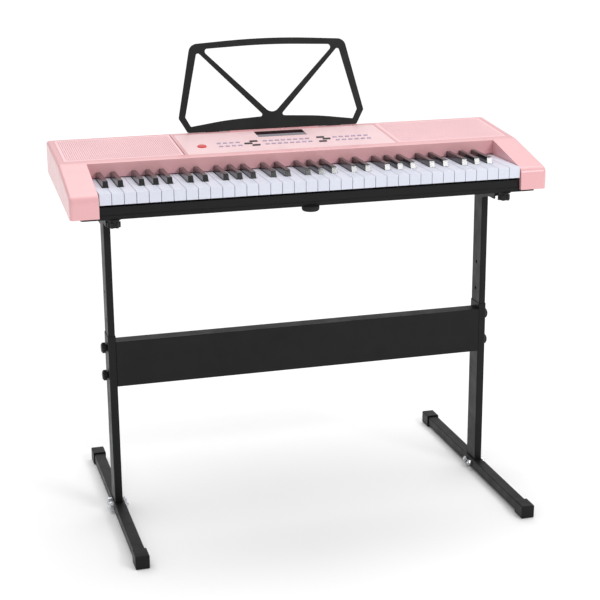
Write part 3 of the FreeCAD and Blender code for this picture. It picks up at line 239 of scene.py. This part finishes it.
def display_paint(tree, position, body):
    """The window's front strip is a grey printed band with a row of short marks on it."""
    low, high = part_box("display_lens")
    split = low.y + (high.y - low.y) * BAND_SHARE
    y = axis_value(tree, position, "Y")
    x = axis_value(tree, position, "X")
    band = math_node(tree, "LESS_THAN", y, split)
    period = math_node(tree, "FRACT", math_node(tree, "MULTIPLY", x, 1.0 / MARK_PITCH), 0.0)
    dash = math_node(tree, "LESS_THAN", period, MARK_SHARE)
    above = math_node(tree, "GREATER_THAN", y, low.y + MARK_START)
    below = math_node(tree, "LESS_THAN", y, low.y + MARK_END)
    marks = math_node(tree, "MULTIPLY", math_node(tree, "MULTIPLY", dash, above), below)
    grey = mix_colours(tree, marks, LENS_GREY, tone(LENS_GREY, MARK_TONE))
    return mix_colours(tree, band, body, grey)


finishes = {
    "pink": finish("pink_case", PINK, roughness=0.34, spread=0.025, blotch=5.0, grain=1500.0,
                   grain_height=0.006, smudge=0.07, edge=1.3, wear_and_sheen=0.30, wear_and_sheen_tone=1.12, coat=0.5,
                   coat_roughness=0.25),
    "panel": finish("pink_panel", PANEL_PINK, roughness=0.38, spread=0.02, blotch=6.0, grain=1700.0,
                    grain_height=0.006, smudge=0.06, edge=0.7, wear_and_sheen=0.3, wear_and_sheen_tone=1.10),
    "grille": finish("pink_grille", GRILLE_PINK, roughness=0.55, spread=0.03, blotch=7.0, grain=1300.0,
                     grain_height=0.01, smudge=0.06, edge=0.5, wear_and_sheen=0.2, wear_and_sheen_tone=1.08),
    "white_key": finish("white_keys", WHITE_KEY, roughness=0.32, spread=0.02, blotch=11.0, grain=900.0,
                        grain_height=0.002, smudge=0.05, edge=0.9, wear_and_sheen=0.35, wear_and_sheen_tone=1.08, specular=0.4),
    # Painted highlight: the black keys' edges are mixed 3.5 times lighter, standing in for the grey sheen
    # on their glossy tops.
    "black_key": finish("black_keys", BLACK_KEY, roughness=0.20, spread=0.25, blotch=22.0, grain=700.0,
                        grain_height=0.0005, smudge=0.02, edge=0.9, wear_and_sheen=0.6, wear_and_sheen_tone=3.5, specular=0.4,
                        coat=0.35, coat_roughness=0.05),
    # Painted highlight: the edges of the black steel, plastic and knobs are mixed 2.4 to 2.8 times lighter,
    # partly wear and partly painted sheen.
    "steel": finish("black_powder_coat", STEEL_BLACK, roughness=0.44, spread=0.12, blotch=8.0, grain=900.0,
                    grain_height=0.02, smudge=0.07, edge=1.0, wear_and_sheen=0.45, wear_and_sheen_tone=2.6, specular=0.21),
    "plastic": finish("black_plastic", PLASTIC_BLACK, roughness=0.47, spread=0.12, blotch=9.0, grain=1300.0,
                      grain_height=0.012, smudge=0.07, edge=0.9, wear_and_sheen=0.4, wear_and_sheen_tone=2.4, specular=0.21),
    "knob": finish("black_knobs", PLASTIC_BLACK, roughness=0.40, spread=0.15, blotch=30.0, grain=1300.0,
                   grain_height=0.01, smudge=0.08, edge=0.8, wear_and_sheen=0.6, wear_and_sheen_tone=2.8, specular=0.3),
    # The music rest's edges are mixed towards a darker tone (0.45 of the colour), drawn as black edges
    # around the charcoal face.
    "charcoal": finish("charcoal_plastic", CHARCOAL, roughness=0.52, spread=0.06, blotch=8.0, grain=1200.0,
                       grain_height=0.012, smudge=0.06, edge=1.2, wear_and_sheen=0.5, wear_and_sheen_tone=0.45, specular=0.22),
    "rubber": finish("black_rubber", RUBBER, roughness=0.72, spread=0.15, blotch=40.0,
                     grain=800.0, grain_height=0.02, smudge=0.08, edge=1.5, wear_and_sheen=0.5, wear_and_sheen_tone=2.0,
                     specular=0.3),
    "zinc": finish("zinc_plating", ZINC, roughness=0.27, spread=0.12, blotch=60.0, grain=1800.0,
                   grain_height=0.006, smudge=0.1, edge=0.6, wear_and_sheen=0.5, wear_and_sheen_tone=1.3, metallic=1.0),
    "red": finish("red_button", RED, roughness=0.22, spread=0.06, blotch=40.0, grain=1500.0,
                  grain_height=0.003, smudge=0.05, edge=1.2, wear_and_sheen=0.4, wear_and_sheen_tone=1.25, coat=0.5),
    "grey": finish("grey_buttons", BUTTON_GREY, roughness=0.45, spread=0.06, blotch=30.0, grain=1500.0,
                   grain_height=0.006, smudge=0.06, edge=0.5, wear_and_sheen=0.4, wear_and_sheen_tone=1.2),
    "dark": finish("dark_buttons", BUTTON_DARK, roughness=0.42, spread=0.08, blotch=30.0, grain=1500.0,
                   grain_height=0.006, smudge=0.06, edge=0.6, wear_and_sheen=0.5, wear_and_sheen_tone=1.8),
    # Painted highlight: the display window's edges are mixed 3 times lighter, a painted glint on the glossy
    # lens.
    "lens": finish("display_window", LENS_DARK, roughness=0.12, spread=0.2, blotch=30.0, grain=900.0,
                   grain_height=0.001, smudge=0.04, edge=0.5, wear_and_sheen=0.4, wear_and_sheen_tone=3.0, paint=display_paint),
    "inside": finish("inside_parts", INSIDE_GREY, roughness=0.7, spread=0.2, blotch=30.0,
                     grain=900.0, grain_height=0.01, smudge=0.06, edge=0.5, wear_and_sheen=0.3, wear_and_sheen_tone=1.5),
    "board": finish("circuit_board", BOARD_GREEN, roughness=0.4, spread=0.2, blotch=80.0,
                    grain=900.0, grain_height=0.01, smudge=0.08, edge=0.3, wear_and_sheen=0.4, wear_and_sheen_tone=1.5),
    "felt": finish("felt_strip", FELT, roughness=0.95, spread=0.25, blotch=300.0, grain=2500.0,
                   grain_height=0.2, smudge=0.03, edge=0.8, wear_and_sheen=0.3, wear_and_sheen_tone=1.3),
}

looks = {
    "pink": ["top_case"],
    "panel": ["control_panel"],
    "grille": ["speaker_grilles"],
    "white_key": [name for name in nodes if name.startswith("white_key")],
    "black_key": [name for name in nodes if name.startswith("black_key")],
    "steel": ["foot_tube_left", "foot_tube_right", "lower_upright_left", "lower_upright_right",
              "upper_upright_left", "upper_upright_right", "apron_panel", "support_arm_left",
              "support_arm_right"],
    "plastic": ["foot_end_caps", "bottom_case", "battery_door", "rear_jacks"],
    "knob": [name for name in nodes if "knob" in name],
    "charcoal": ["music_rest"],
    "rubber": ["rubber_feet", "contact_rubber"],
    "zinc": ["foot_nuts", "foot_bolts", "case_screws", "apron_screws"],
    "red": ["power_button"],
    "grey": ["panel_buttons"],
    "dark": ["tempo_buttons", "volume_buttons"],
    "lens": ["display_lens"],
    "inside": ["display_module", "speakers", "key_bed"],
    "board": ["main_board", "key_contact_board"],
    "felt": ["key_stop_felt"],
}
for look, names in looks.items():
    for name in names:
        for place in nodes[name].material_slots:
            place.material = finishes[look]


# ---------------------------------------------------------------- perforated speaker grilles

def plate_tilt(low, high):
    """The tilt of a thin plate about X, from its bounding box and thickness."""
    tilt = 0.0
    for _ in range(TILT_STEPS):
        rise = high.z - low.z - GRILLE_THICKNESS * math.cos(tilt)
        tilt = math.atan2(rise, high.y - low.y - GRILLE_THICKNESS * math.sin(tilt))
    return tilt


def make_grilles():
    """Both grille plates, punched with a fine square grid of holes."""
    low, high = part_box("speaker_grilles")
    tilt = plate_tilt(low, high)
    cos_tilt = math.cos(tilt)
    sin_tilt = math.sin(tilt)
    front_y = low.y
    front_z = low.z + GRILLE_THICKNESS * cos_tilt
    length = (high.y - low.y - GRILLE_THICKNESS * sin_tilt) / cos_tilt
    corners_x = [v.co.x for v in nodes["speaker_grilles"].data.vertices]
    rows = int((length - 2 * GRILLE_BORDER) / GRILLE_PITCH)
    start_v = (length - rows * GRILLE_PITCH) / 2
    points = []
    faces = []

    def add(side, inner_x, u, v, depth):
        x = side * (inner_x + u)
        y = front_y + v * cos_tilt + depth * sin_tilt
        z = front_z + v * sin_tilt - depth * cos_tilt
        points.append((x, y, z))
        return len(points) - 1

    def face(side, corners):
        faces.append(corners if side > 0 else corners[::-1])

    ring = [math.tau * (i + 0.5) / GRILLE_HOLE_SIDES for i in range(GRILLE_HOLE_SIDES)]
    for side in (-1, 1):
        inner_x = min(side * x for x in corners_x if side * x > 0)
        width = max(side * x for x in corners_x) - inner_x
        columns = int((width - 2 * GRILLE_BORDER) / GRILLE_PITCH)
        start_u = (width - columns * GRILLE_PITCH) / 2
        grid = {}
        for row in range(rows + 1):
            for column in range(columns + 1):
                grid[column, row] = add(side, inner_x, start_u + column * GRILLE_PITCH,
                                        start_v + row * GRILLE_PITCH, 0.0)
        for row in range(rows):
            for column in range(columns):
                u = start_u + (column + 0.5) * GRILLE_PITCH
                v = start_v + (row + 0.5) * GRILLE_PITCH
                rims = []
                for depth in (0.0, GRILLE_THICKNESS):
                    rims.append([add(side, inner_x, u + GRILLE_HOLE_RADIUS * math.cos(a),
                                     v + GRILLE_HOLE_RADIUS * math.sin(a), depth) for a in ring])
                top, bottom = rims
                corners = [grid[column + 1, row + 1], grid[column, row + 1], grid[column, row],
                           grid[column + 1, row]]
                for i in range(4):
                    face(side, (corners[i], top[2 * i + 1], top[2 * i]))
                    after = (i + 1) % 4
                    face(side, (corners[i], corners[after], top[2 * after], top[2 * i + 1]))
                for i in range(GRILLE_HOLE_SIDES):
                    after = (i + 1) % GRILLE_HOLE_SIDES
                    face(side, (top[i], top[after], bottom[after], bottom[i]))
        far_u = start_u + columns * GRILLE_PITCH
        far_v = start_v + rows * GRILLE_PITCH
        inside = [(start_u, start_v), (far_u, start_v), (far_u, far_v), (start_u, far_v)]
        outside = [(0.0, 0.0), (width, 0.0), (width, length), (0.0, length)]
        rim_in = [add(side, inner_x, u, v, 0.0) for u, v in inside]
        rim_out = [add(side, inner_x, u, v, 0.0) for u, v in outside]
        rim_low = [add(side, inner_x, u, v, GRILLE_THICKNESS) for u, v in outside]
        for i in range(4):
            after = (i + 1) % 4
            face(side, (rim_out[i], rim_out[after], rim_in[after], rim_in[i]))
            face(side, (rim_low[i], rim_low[after], rim_out[after], rim_out[i]))
    mesh = bpy.data.meshes.new("perforated_grilles")
    mesh.from_pydata(points, [], faces)
    mesh.update()
    piece = bpy.data.objects.new("perforated_grilles", mesh)
    bpy.context.scene.collection.objects.link(piece)
    mesh.materials.append(finishes["grille"])
    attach(piece, "upper_frame")
    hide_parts("speaker_grilles")


make_grilles()


# ---------------------------------------------------------------- floor, light and camera

def make_floor():
    mesh = bpy.data.meshes.new("floor")
    signs = [(-1, -1), (1, -1), (1, 1), (-1, 1)]
    corners = [(x * FLOOR_HALF, y * FLOOR_HALF, FLOOR_Z) for x, y in signs]
    mesh.from_pydata(corners, [], [(0, 1, 2, 3)])
    floor = bpy.data.objects.new("floor", mesh)
    bpy.context.scene.collection.objects.link(floor)
    mesh.materials.append(finish("pale_floor", FLOOR, roughness=0.75, spread=0.01, blotch=1.5, grain=60.0,
                                 grain_height=0.02, smudge=0.05, edge=0.5, wear_and_sheen=0.0, wear_and_sheen_tone=1.0,
                                 specular=0.2))


def make_softbox():
    """A thin panel of light that brightens the sloped fronts of the black keys on the right."""
    data = bpy.data.lights.new("front_right_softbox", "AREA")
    data.shape = "RECTANGLE"
    data.size = SOFTBOX_WIDTH
    data.size_y = SOFTBOX_HEIGHT
    data.energy = SOFTBOX_WATTS
    lamp = bpy.data.objects.new("front_right_softbox", data)
    lamp.location = SOFTBOX_PLACE
    direction = Vector(SOFTBOX_TARGET) - Vector(SOFTBOX_PLACE)
    lamp.rotation_euler = direction.to_track_quat("-Z", "Y").to_euler()
    bpy.context.scene.collection.objects.link(lamp)


def make_sun():
    """Broad, even light from above, as from a ceiling of diffusers."""
    data = bpy.data.lights.new("overhead_light", "SUN")
    data.energy = SUN_STRENGTH
    data.angle = math.radians(SUN_ANGLE)
    lamp = bpy.data.objects.new("overhead_light", data)
    lamp.rotation_euler = Vector(SUN_DIRECTION).to_track_quat("-Z", "Y").to_euler()
    bpy.context.scene.collection.objects.link(lamp)


def make_world():
    world = bpy.data.worlds.new("studio")
    world.use_nodes = True
    back = world.node_tree.nodes["Background"]
    back.inputs["Color"].default_value = (1.0, 1.0, 1.0, 1.0)
    back.inputs["Strength"].default_value = WORLD_STRENGTH
    bpy.context.scene.world = world


def make_camera():
    """Camera to the player's left and above, looking down at the keyboard."""
    yaw = math.radians(CAMERA_YAW)
    pitch = math.radians(CAMERA_PITCH)
    roll = math.radians(CAMERA_ROLL)
    ahead = Vector((math.sin(yaw) * math.cos(pitch), math.cos(yaw) * math.cos(pitch), -math.sin(pitch)))
    right = Vector((math.cos(yaw), -math.sin(yaw), 0.0))
    up = right.cross(ahead)
    turned_right = right * math.cos(roll) + up * math.sin(roll)
    turned_up = up * math.cos(roll) - right * math.sin(roll)
    data = bpy.data.cameras.new("camera")
    data.sensor_width = CAMERA_SENSOR
    data.lens = CAMERA_LENS
    data.clip_end = CAMERA_REACH
    camera = bpy.data.objects.new("camera", data)
    turn = Matrix((turned_right, turned_up, -ahead)).transposed()
    camera.matrix_world = Matrix.Translation(CAMERA_PLACE) @ turn.to_4x4()
    bpy.context.scene.collection.objects.link(camera)
    bpy.context.scene.camera = camera


make_floor()
make_world()
make_sun()
make_softbox()
make_camera()
view = bpy.context.scene.view_settings
view.view_transform = "Standard"
view.look = "None"
view.exposure = 0.0
